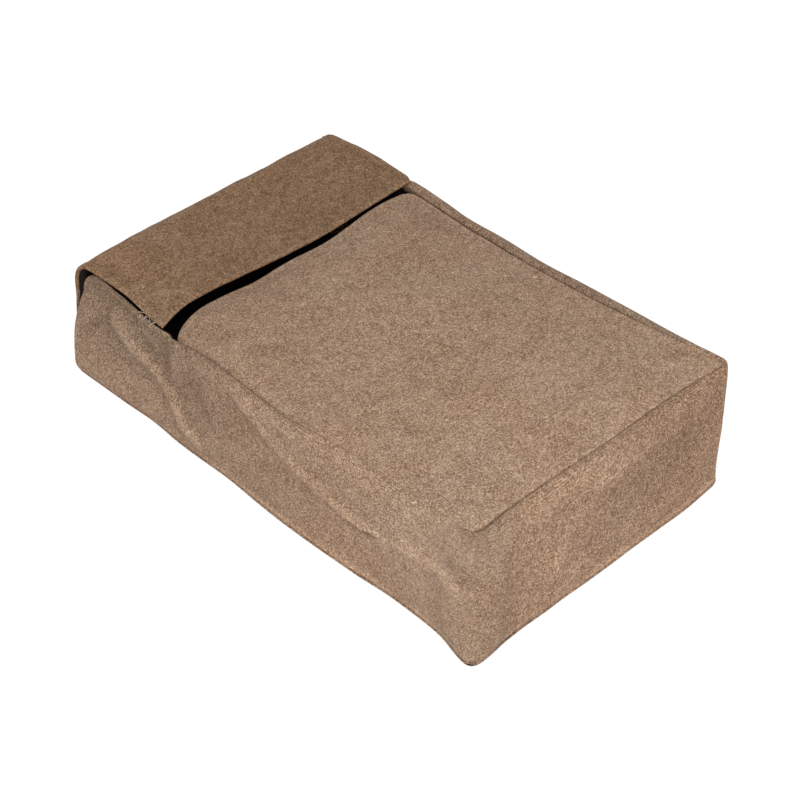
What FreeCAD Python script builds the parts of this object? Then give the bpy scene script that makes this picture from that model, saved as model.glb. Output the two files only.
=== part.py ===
"""A boxed laptop sleeve in heavy canvas, lying on its back with its flap closed.

The sleeve is a soft box that is open at one end and over the first quarter of its top. A canvas
back panel, a smaller front panel and one long wall strip that leans in to it make the outside. Foam
pads and a lining stand inside them, layer by layer. A flap with two boards in it is sewn to the mouth
edge of the back panel. It stands up over the open end, folds forward over the top and stops just in
front of the lip of the front panel.

Millimetres. +X is across the sleeve, +Y runs to the mouth, +Z is up, and the origin is under the
middle of the sleeve, on the surface that it lies on. The top falls towards the mouth, because the
sleeve is deeper at its closed end. Every piece is where a plan outline, seen from above, meets a
side profile, seen along X, except the walls, which are a bowed section run round the sleeve.
"""
import FreeCAD
import Part
import math
import os

# Overall sizes
SLEEVE_LENGTH = 372.0      # along Y, closed end to the outside of the flap
SLEEVE_WIDTH = 242.0       # across the walls where they belly out furthest
END_HEIGHT = 100.0         # top of the front panel at the closed end
MOUTH_HEIGHT = 88.0        # top of the flap at the mouth

# Cloth, foam and board
CANVAS = 1.2
LINING = 0.8
PANEL_FOAM = 5.0           # in the front and back
WALL_FOAM = 3.0            # in the walls
BOARD = 0.8                # flat stiffeners in the flap
FACING = 1.0               # canvas turned down inside the mouth

# Walls
BELLY_HEIGHT = 32.0        # where a wall bellies out furthest
BASE_TUCK = 2.0            # from there in to the seam of the back panel
TOP_TUCK = 9.0             # from there in to the seam of the front panel
END_CORNER = 16.0          # upright corners of the closed end, at the front panel's seam
WALL_TIP_ROUND = 20.0      # upper corner of each side wall at the mouth
PAD_MARGIN = 4.0           # wall foam stops this short of the upright corners
FACING_DEPTH = 16.0        # how far a facing reaches inside

# Front panel
LIP_SETBACK = 5.0          # from the flap's free edge to the panel's lip
LIP_CORNER = 15.0          # rounded corners of the lip

# Flap
FLAP_COVER = 84.0          # how far the flap reaches forward over the top
FLAP_CORNER = 4.0          # its free corners
BOARD_MARGIN = 8.0         # seam allowance round the boards
BOARD_SETBACK = 3.0        # from a fold to the board beside it
LOWER_FOLD = 5.0           # outer radius where the flap leaves the back panel
UPPER_FOLD = 9.0           # outer radius where it turns forward over the top

# Clearances
EASE = 0.2                 # between the walls and what lies between them
RUN_GAP = 0.4              # between the closed flap and the walls under it
FOLD_GAP = 0.3             # between the two sides of a fold
REACH = 20.0               # how far a cutting shape stands past the sleeve

MOUTH_Y = SLEEVE_LENGTH / 2
BELLY_X = SLEEVE_WIDTH / 2
BELLY_END_Y = -SLEEVE_LENGTH / 2
SEAM_X = BELLY_X - TOP_TUCK
BASE_X = BELLY_X - BASE_TUCK
BELLY_CORNER = END_CORNER + TOP_TUCK
FLAP_THICK = CANVAS + BOARD + LINING
FLAP_EDGE_Y = MOUTH_Y - FLAP_COVER
LIP_Y = FLAP_EDGE_Y - LIP_SETBACK
LIP_SIDE_Y = LIP_Y - LIP_CORNER
WALL_TIP_Y = MOUTH_Y - FLAP_THICK - RUN_GAP
WALL_THICK = CANVAS + WALL_FOAM + LINING
PANEL_THICK = CANVAS + PANEL_FOAM + LINING
SLOPE = (END_HEIGHT - MOUTH_HEIGHT) / SLEEVE_LENGTH


def top_z(y):
    """Height of the sleeve's top surface at y."""
    return MOUTH_HEIGHT + SLOPE * (MOUTH_Y - y)


# Centres (y, z) of the two folds of the flap
LOWER_FOLD_Y, LOWER_FOLD_Z = MOUTH_Y - LOWER_FOLD, LOWER_FOLD
UPPER_FOLD_Y = MOUTH_Y - UPPER_FOLD
UPPER_FOLD_Z = top_z(UPPER_FOLD_Y) - UPPER_FOLD * math.hypot(1, SLOPE)


def rounded_wire(corners):
    """A closed wire through corners, each (point, radius), with an arc where the radius isn't 0."""
    ends = []
    for i, (point, radius) in enumerate(corners):
        if radius <= 0:
            ends.append((point, point, None))
            continue
        before = (corners[i - 1][0] - point).normalize()
        after = (corners[(i + 1) % len(corners)][0] - point).normalize()
        half = before.getAngle(after) / 2
        tangent = radius / math.tan(half)
        inward = (before + after).normalize()
        middle = point + inward * (radius / math.sin(half) - radius)
        ends.append((point + before * tangent, point + after * tangent, middle))
    edges = []
    for i, (start, stop, middle) in enumerate(ends):
        if middle is not None:
            edges.append(Part.Arc(start, middle, stop).toShape())
        following = ends[(i + 1) % len(ends)][0]
        edges.append(Part.LineSegment(stop, following).toShape())
    return Part.Wire(edges)


def plan_prism(corners):
    """An upright prism through the whole height, from plan corners (x, y, radius)."""
    wire = rounded_wire([(FreeCAD.Vector(x, y, -REACH), r) for x, y, r in corners])
    return Part.Face(wire).extrude(FreeCAD.Vector(0, 0, END_HEIGHT + 2 * REACH))


def side_prism(corners, half_width=SLEEVE_WIDTH / 2 + REACH):
    """A prism across the sleeve, from side-view corners (y, z, radius)."""
    wire = rounded_wire([(FreeCAD.Vector(-half_width, y, z), r) for y, z, r in corners])
    return Part.Face(wire).extrude(FreeCAD.Vector(2 * half_width, 0, 0))


def block(x_range, y_range):
    """An upright block through the whole height."""
    (x0, x1), (y0, y1) = x_range, y_range
    return plan_prism([(x0, y0, 0), (x1, y0, 0), (x1, y1, 0), (x0, y1, 0)])


FAR_X = SLEEVE_WIDTH / 2 + REACH
FAR_Y = MOUTH_Y + REACH


def layer_under_top(shallow, deep):
    """Everything from shallow to deep below the sloping top surface."""
    return side_prism([(-FAR_Y, top_z(-FAR_Y) - deep, 0), (FAR_Y, top_z(FAR_Y) - deep, 0),
                       (FAR_Y, top_z(FAR_Y) - shallow, 0), (-FAR_Y, top_z(-FAR_Y) - shallow, 0)])


def layer_over_floor(low, high):
    return side_prism([(-FAR_Y, low, 0), (FAR_Y, low, 0), (FAR_Y, high, 0), (-FAR_Y, high, 0)])


def panel_plan(tuck, mouth_y, mouth_round=0):
    """Plan of what lies tuck inside the walls' belly, with round corners at the closed end."""
    x = BELLY_X - tuck
    end_y = BELLY_END_Y + tuck
    end_round = BELLY_CORNER - tuck
    return plan_prism([(-x, end_y, end_round), (x, end_y, end_round),
                       (x, mouth_y, mouth_round), (-x, mouth_y, mouth_round)])


def lip_plan(inset):
    """Plan of the front panel, drawn in by inset all round."""
    return panel_plan(TOP_TUCK + inset, LIP_Y - inset, max(LIP_CORNER - inset, 0))


def bow_circle():
    """Centre (tuck, z) and radius of the wall's outside, an arc from seam to seam through the belly."""
    low, belly, high = (BASE_TUCK, 0), (0, BELLY_HEIGHT), (TOP_TUCK, END_HEIGHT)
    circle = Part.Arc(*[FreeCAD.Vector(tuck, z, 0) for tuck, z in (low, belly, high)]).toShape().Curve
    return circle.Center.x, circle.Center.y, circle.Radius


def wall_layer(outer_depth, inner_depth):
    """One layer of the walls: a bowed section run along a side, round the closed end and back."""
    centre_tuck, centre_z, radius = bow_circle()
    turn = FreeCAD.Vector(BELLY_X - BELLY_CORNER, BELLY_END_Y + BELLY_CORNER, 0)

    def bowed_edge(depth, heights):
        at = []
        for z in heights:
            tuck = centre_tuck - math.sqrt((radius - depth) ** 2 - (z - centre_z) ** 2)
            at.append(FreeCAD.Vector(BELLY_X - tuck, turn.y, z))
        return Part.Arc(*at).toShape(), at[0], at[-1]

    outer, outer_low, outer_high = bowed_edge(outer_depth, (0, BELLY_HEIGHT, END_HEIGHT))
    inner, inner_high, inner_low = bowed_edge(inner_depth, (END_HEIGHT, BELLY_HEIGHT, 0))
    section = Part.Face(Part.Wire([outer, Part.LineSegment(outer_high, inner_high).toShape(),
                                   inner, Part.LineSegment(inner_low, outer_low).toShape()]))

    upright = FreeCAD.Vector(0, 0, 1)
    side = section.extrude(FreeCAD.Vector(0, WALL_TIP_Y - turn.y, 0))
    corner = section.revolve(turn, upright, -90)
    end = section.rotated(turn, upright, -90).extrude(FreeCAD.Vector(-turn.x, 0, 0))
    right = side.fuse([corner, end])
    left = right.mirror(FreeCAD.Vector(0, 0, 0), FreeCAD.Vector(1, 0, 0))
    return right.fuse(left).removeSplitter()


def wall_profile(inset):
    """Side view of the walls: full height behind the lip, and low enough for the flap before it.

    inset draws in the free edges at the mouth, where facings cover the padding."""
    top_depth = FLAP_THICK + RUN_GAP + inset
    tip_y = WALL_TIP_Y - inset
    return side_prism([(-FAR_Y, CANVAS, 0), (tip_y, CANVAS, LOWER_FOLD),
                       (tip_y, top_z(tip_y) - top_depth, WALL_TIP_ROUND - inset),
                       (LIP_SIDE_Y, top_z(LIP_SIDE_Y) - top_depth, 0),
                       (LIP_SIDE_Y, top_z(LIP_SIDE_Y) - CANVAS, 0),
                       (-FAR_Y, top_z(-FAR_Y) - CANVAS, 0)])


def one_side(sign):
    return block(sorted((0, sign * FAR_X)), (-FAR_Y, FAR_Y))


def mouth_zone():
    """In front of the lip's corners, where the walls have free edges."""
    return block((-FAR_X, FAR_X), (LIP_SIDE_Y, FAR_Y))


def flap_loop(depth):
    """Side view of floor, lower fold, open end, upper fold and top, drawn in by depth."""
    end_y = MOUTH_Y - depth
    back_y = FLAP_EDGE_Y - REACH
    return side_prism([(back_y, depth, 0), (end_y, depth, LOWER_FOLD - depth),
                       (end_y, top_z(end_y) - depth, UPPER_FOLD - depth),
                       (back_y, top_z(back_y) - depth, 0)])


def flap_sheet(shallow, deep):
    return flap_loop(shallow).cut(flap_loop(deep))


def flap_end_zone():
    """Between the two folds, whose cuts run at 45 degrees from the fold's centre through its corner."""
    gap = FOLD_GAP * math.sqrt(2)
    far = UPPER_FOLD + REACH
    return side_prism([(LOWER_FOLD_Y, LOWER_FOLD_Z + gap, 0),
                       (LOWER_FOLD_Y + far, LOWER_FOLD_Z + gap - far, 0),
                       (UPPER_FOLD_Y + far, UPPER_FOLD_Z - gap + far, 0),
                       (UPPER_FOLD_Y, UPPER_FOLD_Z - gap, 0)])


def flap_top_zone():
    """From the upper fold's cut to the flap's free edge."""
    far = UPPER_FOLD + REACH
    return side_prism([(FLAP_EDGE_Y, UPPER_FOLD_Z, 0), (UPPER_FOLD_Y, UPPER_FOLD_Z, 0),
                       (UPPER_FOLD_Y + far, UPPER_FOLD_Z + far, 0), (FLAP_EDGE_Y, UPPER_FOLD_Z + far, 0)])


def flap_outline(inset):
    """What lies inside the flap's outline: its sides lean in from the back panel to the front panel."""
    low_x, high_x = BASE_X - inset, SEAM_X - inset
    front_view = [(-low_x, 0), (low_x, 0), (high_x, MOUTH_HEIGHT), (high_x, END_HEIGHT + REACH),
                  (-high_x, END_HEIGHT + REACH), (-high_x, MOUTH_HEIGHT)]
    wire = rounded_wire([(FreeCAD.Vector(x, 0, z), 0) for x, z in front_view])
    between_sides = Part.Face(wire).extrude(FreeCAD.Vector(0, FAR_Y, 0))
    edge_y = FLAP_EDGE_Y + inset
    corner = max(FLAP_CORNER - inset, 0)
    x = high_x
    free_end = plan_prism([(-x, edge_y, corner), (x, edge_y, corner), (x, UPPER_FOLD_Y, 0),
                           (-x, UPPER_FOLD_Y, 0)])
    folded_end = block((-FAR_X, FAR_X), (UPPER_FOLD_Y, FAR_Y))
    return between_sides.common(free_end.fuse(folded_end))


# The outside, in canvas

def back_panel():
    """The back, with the first half of the lower fold, where it turns up into the flap."""
    flat = panel_plan(BASE_TUCK, LOWER_FOLD_Y).common(layer_over_floor(0, CANVAS))
    far = LOWER_FOLD + REACH
    under_fold = side_prism([(LOWER_FOLD_Y, LOWER_FOLD_Z, 0), (LOWER_FOLD_Y, LOWER_FOLD_Z - far, 0),
                             (LOWER_FOLD_Y + far, LOWER_FOLD_Z - far, 0)])
    turned = flap_sheet(0, CANVAS).common(under_fold).common(flap_outline(0))
    return flat.fuse(turned).removeSplitter()


def front_panel():
    return lip_plan(0).common(layer_under_top(0, CANVAS))


def wall_strip():
    return wall_layer(0, CANVAS).common(wall_profile(0))


# Padding and lining

def back_layer(shallow, deep):
    """A layer on the back panel, between the wall facings, up to the lower fold."""
    plan = panel_plan(BASE_TUCK + WALL_THICK + FACING + EASE, LOWER_FOLD_Y)
    return plan.common(layer_over_floor(shallow, deep))


def front_layer(shallow, deep):
    """A layer under the front panel, between the walls, up to the lip's facing."""
    plan = panel_plan(TOP_TUCK + WALL_THICK + EASE, LIP_Y).common(lip_plan(FACING))
    return plan.common(layer_under_top(shallow, deep))


def side_pad(sign):
    """Foam in one side wall, from the upright corner to the mouth."""
    beside = block((-FAR_X, FAR_X), (BELLY_END_Y + BELLY_CORNER + PAD_MARGIN, FAR_Y))
    layer = wall_layer(CANVAS, CANVAS + WALL_FOAM).common(wall_profile(FACING))
    return layer.common(beside).common(one_side(sign))


def end_pad():
    """Foam in the closed end, between the upright corners."""
    x = BELLY_X - BELLY_CORNER - PAD_MARGIN
    layer = wall_layer(CANVAS, CANVAS + WALL_FOAM).common(wall_profile(FACING))
    return layer.common(block((-x, x), (-FAR_Y, BELLY_END_Y + BELLY_CORNER)))


def wall_lining():
    return wall_layer(CANVAS + WALL_FOAM, WALL_THICK).common(wall_profile(FACING))


# Canvas facings over the free edges at the mouth

def wall_facing(sign):
    """Canvas turned over the edge of a side wall's padding and down inside it."""
    over_edge = wall_layer(CANVAS, WALL_THICK + FACING).common(wall_profile(0).cut(wall_profile(FACING)))
    inside = wall_layer(WALL_THICK, WALL_THICK + FACING)
    inside = inside.common(wall_profile(0).cut(wall_profile(FACING_DEPTH)))
    return over_edge.fuse(inside).common(mouth_zone()).common(one_side(sign)).removeSplitter()


def lip_facing():
    """Canvas turned over the edge of the front panel's padding and back under it."""
    between_facings = panel_plan(TOP_TUCK + WALL_THICK + FACING + EASE, LIP_Y)
    over_edge = lip_plan(0).cut(lip_plan(FACING)).common(layer_under_top(CANVAS, PANEL_THICK + FACING))
    under = lip_plan(0).cut(lip_plan(FACING_DEPTH)).common(layer_under_top(PANEL_THICK, PANEL_THICK + FACING))
    facing = over_edge.fuse(under).common(between_facings)
    return facing.common(block((-FAR_X, FAR_X), (LIP_Y - FACING_DEPTH, FAR_Y))).removeSplitter()


# The flap: canvas with its seam allowance turned in, flat boards in its pockets, and a lining

def end_board():
    straight = side_prism([(FLAP_EDGE_Y, LOWER_FOLD_Z + BOARD_SETBACK, 0),
                           (FAR_Y, LOWER_FOLD_Z + BOARD_SETBACK, 0),
                           (FAR_Y, UPPER_FOLD_Z - BOARD_SETBACK, 0),
                           (FLAP_EDGE_Y, UPPER_FOLD_Z - BOARD_SETBACK, 0)])
    return flap_sheet(CANVAS, CANVAS + BOARD).common(straight).common(flap_outline(BOARD_MARGIN))


def top_board():
    straight = side_prism([(FLAP_EDGE_Y, UPPER_FOLD_Z, 0), (UPPER_FOLD_Y - BOARD_SETBACK, UPPER_FOLD_Z, 0),
                           (UPPER_FOLD_Y - BOARD_SETBACK, END_HEIGHT, 0), (FLAP_EDGE_Y, END_HEIGHT, 0)])
    return flap_sheet(CANVAS, CANVAS + BOARD).common(straight).common(flap_outline(BOARD_MARGIN))


def flap_canvas(zone, board):
    return flap_sheet(0, CANVAS + BOARD).common(zone).common(flap_outline(0)).cut(board)


def flap_lining(zone):
    return flap_sheet(CANVAS + BOARD, FLAP_THICK).common(zone).common(flap_outline(0))


def main():
    os.makedirs("parts", exist_ok=True)
    foam_depth = CANVAS + PANEL_FOAM
    pieces = {
        "back_panel": back_panel(),
        "front_panel": front_panel(),
        "wall_strip": wall_strip(),
        "back_pad": back_layer(CANVAS, foam_depth),
        "front_pad": front_layer(CANVAS, foam_depth),
        "left_pad": side_pad(-1),
        "right_pad": side_pad(1),
        "end_pad": end_pad(),
        "back_lining": back_layer(foam_depth, PANEL_THICK),
        "front_lining": front_layer(foam_depth, PANEL_THICK),
        "wall_lining": wall_lining(),
        "left_facing": wall_facing(-1),
        "right_facing": wall_facing(1),
        "lip_facing": lip_facing(),
        "flap_end_canvas": flap_canvas(flap_end_zone(), end_board()),
        "flap_end_board": end_board(),
        "flap_end_lining": flap_lining(flap_end_zone()),
        "flap_top_canvas": flap_canvas(flap_top_zone(), top_board()),
        "flap_top_board": top_board(),
        "flap_top_lining": flap_lining(flap_top_zone()),
    }
    for name, shape in pieces.items():
        shape.exportStep(f"parts/{name}.step")
        box = shape.BoundBox
        print(f"{name}: {len(shape.Solids)} solid, {shape.Volume / 1000:.2f} cm3, "
              f"x {box.XMin:.1f} to {box.XMax:.1f}, y {box.YMin:.1f} to {box.YMax:.1f}, "
              f"z {box.ZMin:.1f} to {box.ZMax:.1f}")


main()
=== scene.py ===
"""Makes a boxed laptop sleeve in padded canvas: its cloth pieces, stitching, materials and stage."""

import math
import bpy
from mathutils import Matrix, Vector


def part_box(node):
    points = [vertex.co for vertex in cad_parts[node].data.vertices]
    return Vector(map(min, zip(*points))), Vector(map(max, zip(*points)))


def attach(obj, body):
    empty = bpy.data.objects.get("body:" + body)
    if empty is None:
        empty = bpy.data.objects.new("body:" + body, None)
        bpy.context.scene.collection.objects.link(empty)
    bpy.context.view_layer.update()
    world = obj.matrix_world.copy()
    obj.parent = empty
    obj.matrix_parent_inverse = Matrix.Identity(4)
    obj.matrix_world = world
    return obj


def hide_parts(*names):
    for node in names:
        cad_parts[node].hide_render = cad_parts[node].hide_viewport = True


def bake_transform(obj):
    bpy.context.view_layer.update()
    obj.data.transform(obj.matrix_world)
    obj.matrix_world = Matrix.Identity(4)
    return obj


bl_info = {
    "name": "Boxed laptop sleeve",
    "version": (1, 0, 0),
    "blender": (4, 5, 0),
    "location": "3D View > Sidebar > Sleeve",
    "description": "Cloth pieces, stitching and materials of a boxed laptop sleeve, on a pale stage",
    "category": "Add Mesh",
}

import bmesh
import bpy
import numpy as np
from bpy.props import FloatProperty, FloatVectorProperty, IntProperty, PointerProperty
from mathutils import Matrix, Vector

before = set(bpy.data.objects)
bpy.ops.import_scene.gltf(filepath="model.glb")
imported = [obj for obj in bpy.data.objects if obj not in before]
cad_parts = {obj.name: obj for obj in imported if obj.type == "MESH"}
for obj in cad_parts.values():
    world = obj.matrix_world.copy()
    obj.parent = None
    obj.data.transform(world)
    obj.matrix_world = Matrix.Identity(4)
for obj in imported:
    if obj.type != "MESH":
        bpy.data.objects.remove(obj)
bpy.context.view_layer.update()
MM = 0.001


def cad_box(node):
    """Lowest and highest corner of a CAD node, in millimetres."""
    return [np.array(corner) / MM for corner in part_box(node)]


# Sizes of the CAD model, in millimetres, that every cloth piece starts from
PANEL_LOW, PANEL_HIGH = cad_box("front_panel")
WALL_HIGH = cad_box("wall_strip")[1]
BACK_LOW, BACK_HIGH = cad_box("back_panel")
FLAP_LOW, FLAP_HIGH = cad_box("flap_top_canvas")
END_HIGH = cad_box("flap_end_canvas")[1]
SEAM_X = PANEL_HIGH[0]
SEAM_END_Y = PANEL_LOW[1]
LIP_Y = PANEL_HIGH[1]
BASE_X = BACK_HIGH[0]
BASE_END_Y = BACK_LOW[1]
TIP_Y = WALL_HIGH[1]
MOUTH_Y = END_HIGH[1]
# Radii of the front panel's corners at the closed end, which the cloth has pulled out of even
LEFT_CORNER, RIGHT_CORNER = 16.0, 6.0
BASE_SPREAD = BASE_X - SEAM_X
SLOPE = (PANEL_HIGH[2] - FLAP_HIGH[2]) / (FLAP_LOW[1] - PANEL_LOW[1])
# Steps from an edge inwards that draw its rounding, in millimetres
EDGE_STEPS = np.array([0, 0.12, 0.45, 1.0, 1.75, 2.6, 3.6, 5.0])
# The walls' upper corners at the mouth: their rounding, and how much taller than wide it is
TIP_ROUND, TIP_TALL = 16.0, 1.15
# How far the walls roll out beyond the top seam, and the thickness of the cloth's edges at the mouth
SHOULDER, WALL_EDGE, LIP_EDGE = 5.8, 3.0, 6.5
# What a facing and the flap's hem add to the cloth's thickness
FACING, HEM_RISE = 0.5, 0.35
# Points in a rounded corner of the walls, up a wall and along the flap's side view
CORNER_POINTS, WALL_POINTS, FLAP_POINTS = 18, 260, 600
# Heights of the two rows of stitches at the flap's seam, how far they stand off the cloth, and the
# points of the cloth's grid that they leave free at each end
SEAM_ROWS, SEAM_LIFT, SEAM_FREE = (2.0, 6.5), 0.05, 8
# How far the hem's stitches lie inside its end, and how far they stand off the cloth
HEM_INSET, HEM_LIFT = 1.6, 0.38
# Where along the sleeve the flap's left edge frays, and how far up the flap from its seam at the least
FRAYED, FRAYED_FROM = (105, 119), 90
# Random waves that are added up for rumpled cloth
WAVES = 9
# Yarns and specks of lint in a metre of canvas
YARNS_PER_METRE, LINT_PER_METRE = 1450.0, 800.0
# Spacing of the canvas's ribs and of the lining's yarns, in metres
RIB, LINING_YARN = 0.00185, 0.0009
# How far past its light yarn the canvas may go, in slubs and lint, and the tint of its warm patches
MOST_LIGHT, WARM_TINT = 1.25, (0.95, 0.88, 0.835)
# Lamps, each (name, place, size, power), and the place that they point at
LAMPS = (("key_lamp", (-0.55, -0.6, 1.1), 0.6, 5.2), ("low_lamp", (-0.85, -0.8, 0.5), 0.5, 2.6),
         ("fill_lamp", (0.7, -1.2, 0.7), 1.0, 1.5))
LAMPS_AIM = Vector((0, 0, 0.04))
# Strength of the world's light, the floor's colour, and the strength of the white that makes it pale
WORLD_LIGHT, FLOOR_COLOUR, FLOOR_GLOW = 0.66, (0.86, 0.86, 0.86, 1), 1.12
# Share of that white for every ray, and what the rays that find the backdrop add to it
FLOOR_ALWAYS, FLOOR_SEEN = 0.1, 0.72
WHITE = (1, 1, 1, 1)


# --- settings


class SleeveSizes(bpy.types.PropertyGroup):
    """Sizes of the cloth"""

    cell: FloatProperty(
        name="Mesh cell", description="Spacing of the cloth's mesh", default=0.0018, unit="LENGTH")
    pad: FloatProperty(
        name="Panel thickness", description="Canvas, foam and lining of a panel", default=0.007,
        unit="LENGTH")
    wall: FloatProperty(
        name="Wall thickness", description="Canvas, foam and lining of a wall", default=0.005,
        unit="LENGTH")
    flap: FloatProperty(
        name="Flap thickness", description="Canvas, board and lining of the flap", default=0.0028,
        unit="LENGTH")
    hem: FloatProperty(
        name="Hem width", description="From the flap's side edge to the end of its hem", default=0.006,
        unit="LENGTH")
    facing: FloatProperty(
        name="Facing depth", description="Canvas turned to the inside at the mouth", default=0.016,
        unit="LENGTH")
    stitch: FloatProperty(
        name="Stitch length", description="Length of one stitch", default=0.0028, unit="LENGTH")
    stitch_gap: FloatProperty(
        name="Stitch gap", description="From one stitch to the next", default=0.0012, unit="LENGTH")
    thread: FloatProperty(
        name="Thread thickness", description="Diameter of the sewing thread", default=0.0006, unit="LENGTH")
    seed: IntProperty(name="Seed", description="Picks the random waves and threads", default=4)


class SleeveColours(bpy.types.PropertyGroup):
    """Colours of the cloth"""

    canvas_dark: FloatVectorProperty(
        name="Canvas, dark yarn", description="Darker yarn of the panels and walls", subtype="COLOR", size=3,
        default=(0.177, 0.101, 0.056))
    canvas_light: FloatVectorProperty(
        name="Canvas, light yarn", description="Lighter yarn of the panels and walls", subtype="COLOR", size=3,
        default=(0.562, 0.399, 0.280))
    flap_dark: FloatVectorProperty(
        name="Flap, dark yarn", description="Darker yarn of the flap", subtype="COLOR", size=3,
        default=(0.124, 0.062, 0.027))
    flap_light: FloatVectorProperty(
        name="Flap, light yarn", description="Lighter yarn of the flap", subtype="COLOR", size=3,
        default=(0.382, 0.243, 0.150))
    # Its near-black colour is partly the lining's own and partly painted shade for the deep inside seen through
    # the mouth
    lining: FloatVectorProperty(
        name="Lining", description="Inside of the sleeve", subtype="COLOR", size=3,
        default=(0.020, 0.010, 0.009))
    thread: FloatVectorProperty(
        name="Thread", description="Sewing thread", subtype="COLOR", size=3, default=(0.250, 0.165, 0.108))
    loose_thread: FloatVectorProperty(
        name="Loose thread", description="Frayed threads", subtype="COLOR", size=3, default=(0.50, 0.41, 0.33))


class StagePlan(bpy.types.PropertyGroup):
    """Camera and lamps"""

    azimuth: FloatProperty(
        name="Azimuth", description="Camera's direction round the sleeve", default=math.radians(-46.237),
        subtype="ANGLE")
    elevation: FloatProperty(
        name="Elevation", description="Camera's height above the horizon", default=math.radians(41.027),
        subtype="ANGLE")
    roll: FloatProperty(
        name="Roll", description="Camera's turn about its own view", default=math.radians(2.5), subtype="ANGLE")
    place: FloatVectorProperty(
        name="Camera", description="Camera's place", subtype="TRANSLATION", size=3,
        default=(-0.8274, -0.7967, 1.0217))
    lens: FloatProperty(name="Lens", description="Focal length in millimetres", default=103.62)


# --- shape helpers


def ease(start, end, x):
    """0 before start, 1 after end, and smooth between them."""
    t = np.clip((np.asarray(x, float) - start) / (end - start), 0, 1)
    return t * t * (3 - 2 * t)


def hump(x, centre, width):
    return np.exp(-(((np.asarray(x, float) - centre) / width) ** 2))


def through(x, stations):
    """A smooth curve through a few stations, each (place, value)."""
    at, value = np.array(stations, float).T
    slope = np.gradient(value, at)
    x = np.clip(x, at[0], at[-1])
    i = np.clip(np.searchsorted(at, x, side="right") - 1, 0, len(at) - 2)
    span = at[i + 1] - at[i]
    t = (x - at[i]) / span
    return ((1 + 2 * t) * (1 - t) ** 2 * value[i] + t * (1 - t) ** 2 * span * slope[i]
            + t * t * (3 - 2 * t) * value[i + 1] + t * t * (t - 1) * span * slope[i + 1])


def rumple(a, b, size, seed):
    """Random smooth waves of about the given size over two coordinates, mostly from -1 to 1."""
    random = np.random.default_rng(seed)
    total = np.zeros(np.broadcast(a, b).shape)
    for _ in range(WAVES):
        turn, phase = random.uniform(0, 2 * math.pi, 2)
        length = size * random.uniform(0.6, 1.7)
        total += np.sin(2 * math.pi * (a * math.cos(turn) + b * math.sin(turn)) / length + phase)
    return total / 4


def beside(a, b, line):
    """How far points (a, b) lie to the left of a broken line, signed, and how far along it, 0 to 1."""
    line = np.array(line, float)
    lengths = np.hypot(*np.diff(line, axis=0).T)
    best = np.full(np.shape(a), 1e9)
    side, along = np.zeros(np.shape(a)), np.zeros(np.shape(a))
    for i, length in enumerate(lengths):
        (p, q), (dp, dq) = line[i], (line[i + 1] - line[i]) / length
        t = np.clip((a - p) * dp + (b - q) * dq, 0, length)
        away = np.hypot(a - p - t * dp, b - q - t * dq)
        nearer = away < best
        best = np.where(nearer, away, best)
        side = np.where(nearer, np.sign((b - q) * dp - (a - p) * dq), side)
        along = np.where(nearer, (lengths[:i].sum() + t) / lengths.sum(), along)
    return best * side, along


def ridge(a, b, line, width):
    """1 along a broken line and falling off beside it, fading out at both ends."""
    away, along = beside(a, b, line)
    return hump(away, 0, width) * ease(0, 0.15, along) * ease(1, 0.85, along)


def spline(points, count):
    """Cubic B-spline through rows of control points: (columns, controls, 3) to (columns, count, 3)."""
    before, beyond = 2 * points[:, :1] - points[:, 1:2], 2 * points[:, -1:] - points[:, -2:-1]
    points = np.concatenate([before, points, beyond], 1)
    t = np.linspace(0, points.shape[1] - 3 - 1e-9, count)
    i = t.astype(int)
    u = (t - i)[None, :, None]
    return ((1 - u) ** 3 * points[:, i] + (3 * u**3 - 6 * u**2 + 4) * points[:, i + 1]
            + (-3 * u**3 + 3 * u**2 + 3 * u + 1) * points[:, i + 2] + u**3 * points[:, i + 3]) / 6


def ways(rows):
    """The way along each row of points (columns, n, 3) from its start to each point."""
    steps = np.linalg.norm(np.diff(rows, axis=1), axis=2)
    return np.pad(np.cumsum(steps, 1), ((0, 0), (1, 0)))


def along_rows(rows, places):
    """Points of each row at the given distances (columns, m) from its start."""
    return np.stack([np.stack([np.interp(place, way, row[:, k]) for k in range(3)], -1)
                     for place, way, row in zip(places, ways(rows), rows)])


def between_edges(length, cell, low=True, high=True):
    """Places from 0 to length, close together at the edges that are rounded."""
    start = EDGE_STEPS if low else EDGE_STEPS[:1]
    end = length - (EDGE_STEPS if high else EDGE_STEPS[:1])[::-1]
    count = max(2, round((end[0] - start[-1]) / cell))
    return np.concatenate([start, np.linspace(start[-1], end[0], count + 1)[1:-1], end])


def grid_normals(grid):
    """Unit normals of a grid of points."""
    normal = np.cross(np.gradient(grid, axis=0), np.gradient(grid, axis=1))
    return normal / np.maximum(np.linalg.norm(normal, axis=2, keepdims=True), 1e-9)


def blurred(grid, reach):
    """A grid of values, averaged over reach cells each way."""
    size = 2 * reach + 1
    for axis in (0, 1):
        lines = np.moveaxis(grid, axis, 0)
        total = np.cumsum(np.concatenate([lines[:1]] * (reach + 1) + [lines] + [lines[-1:]] * reach), 0)
        grid = np.moveaxis((total[size:] - total[:-size]) / size, 0, axis)
    return grid


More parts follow.
